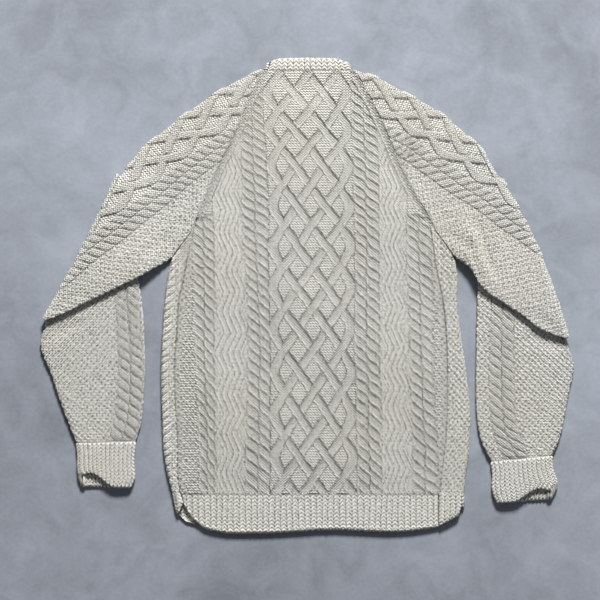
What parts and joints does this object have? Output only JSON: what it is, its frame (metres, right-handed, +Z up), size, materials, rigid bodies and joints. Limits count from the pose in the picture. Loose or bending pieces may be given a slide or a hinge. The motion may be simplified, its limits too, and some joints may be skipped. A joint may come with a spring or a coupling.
{
  "type": "cable knit sweater laid flat",
  "caption": "Thick raglan sweater lying flat with its back up, both sleeves folded under at the elbow, ribbed cuffs, hem and neckband.",
  "frame": {"origin": "on the floor under the middle of the garment's bounding box", "axes": "+Z up from the floor through the back panel, +Y from the hem towards the neck, +X towards the wearer's right sleeve"},
  "size_m": [0.798, 0.7117, 0.0213],
  "materials": {
    "wool": "thick undyed wool, cable and moss stitch, matt with a faint fuzz",
    "wool_rib": "the same wool in a narrow rib"
  },
  "bodies": {
    "root": {"back": "wool", "front": "wool", "sleeve_left": "wool", "sleeve_right": "wool", "cuff_left": "wool_rib", "cuff_right": "wool_rib", "hem_back": "wool_rib", "hem_front": "wool_rib", "neckband": "wool_rib"}
  },
  "joints": []
}
